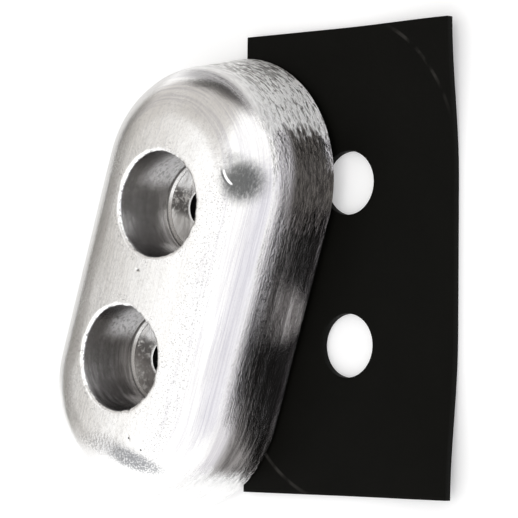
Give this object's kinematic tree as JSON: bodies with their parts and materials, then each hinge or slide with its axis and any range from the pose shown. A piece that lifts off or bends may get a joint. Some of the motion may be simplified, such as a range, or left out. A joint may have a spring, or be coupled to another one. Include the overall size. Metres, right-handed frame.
{
  "type": "sacrificial anode",
  "caption": "Obround zinc hull anode with a domed face, rolled edges and deep round bolt recesses over cast-in steel inserts, lying half on its flat rubber backing pad.",
  "frame": {"origin": "centre of the casting's flat back face, midway between its two bolt holes", "axes": "+Y along the casting's length, +X across it, +Z out of its front face. The backing pad lies turned 18.5 degrees under its +X side, and falls 2.7 degrees away from the back face, because the casting rests on the pad's near top edge and on its own far back edge"},
  "size_m": [0.1497, 0.1776, 0.0424],
  "materials": {
    "cast_zinc": "satin",
    "insert_steel": "satin",
    "pad_rubber": "matte"
  },
  "bodies": {
    "root": {"zinc_casting": "cast_zinc", "steel_insert_upper": "insert_steel", "steel_insert_lower": "insert_steel", "backing_pad": "pad_rubber"}
  },
  "joints": []
}
